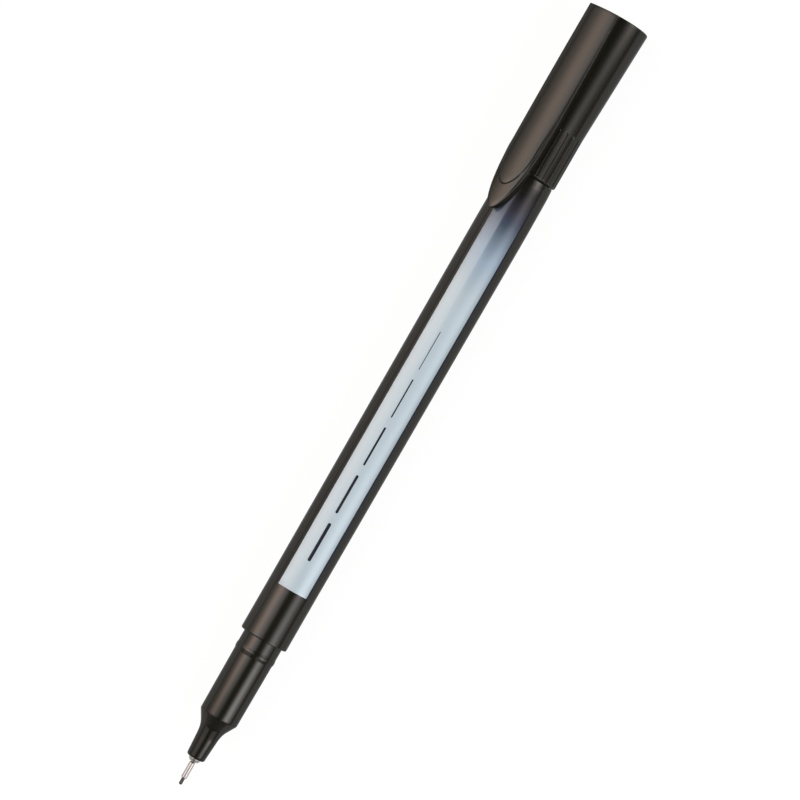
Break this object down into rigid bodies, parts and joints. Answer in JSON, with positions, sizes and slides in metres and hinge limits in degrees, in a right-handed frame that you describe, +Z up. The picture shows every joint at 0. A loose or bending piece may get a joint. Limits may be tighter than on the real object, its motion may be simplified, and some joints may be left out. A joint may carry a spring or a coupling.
{
  "type": "fineliner pen",
  "caption": "Slim black fineliner pen with a steel-tubed fibre nib, a pale label panel on a round barrel and a clipped, fluted cap posted on the tail.",
  "frame": {"origin": "on the pen's axis, in the plane of the barrel's front face", "axes": "+X along the pen from the writing tip towards the cap, +Z up out of the label panel, the clip up and 33 degrees over towards +Y"},
  "size_m": [0.1544, 0.0117, 0.0125],
  "materials": {
    "black_plastic": "moulded black plastic with a soft satin gloss",
    "label_print": "pale blue-white printed film that fades to black towards the cap",
    "bright_steel": "drawn stainless steel, bright",
    "nib_fibre": "bonded fibre stained with black ink",
    "ink_fibre": "bundled polyester fibre soaked with black ink",
    "sleeve_film": "thin milky plastic film",
    "plug_plastic": "moulded black plastic, satin",
    "liner_plastic": "natural soft plastic, satin"
  },
  "bodies": {
    "pen_body": {"barrel": "black_plastic", "barrel_label": "label_print", "nose_section": "black_plastic", "nib_ferrule": "bright_steel", "nib_tube": "bright_steel", "fibre_nib": "nib_fibre", "feed_wick": "ink_fibre", "reservoir_core": "ink_fibre", "reservoir_sleeve": "sleeve_film", "tail_plug": "plug_plastic"},
    "cap_liner": {"inner_cap": "liner_plastic"},
    "cap": {"cap_shell": "black_plastic"},
    "clip": {"pocket_clip": "black_plastic"}
  },
  "joints": [
    {"name": "cap_slide", "type": "slide", "parent": "pen_body", "child": "cap_liner", "axis": [1, 0, 0], "range_m": [0, 0.045]},
    {"name": "cap_turn", "type": "hinge", "parent": "cap_liner", "child": "cap", "pos_m": [0.1, 0, 0], "axis": [1, 0, 0], "continuous": true},
    {"name": "clip_flex", "type": "hinge", "parent": "cap", "child": "clip", "pos_m": [0.12435, 0.00306, 0.00471], "axis": [0, 0.8387, -0.5446], "range_deg": [0, 3.5], "stiffness_Nm_per_rad": 0.6}
  ]
}
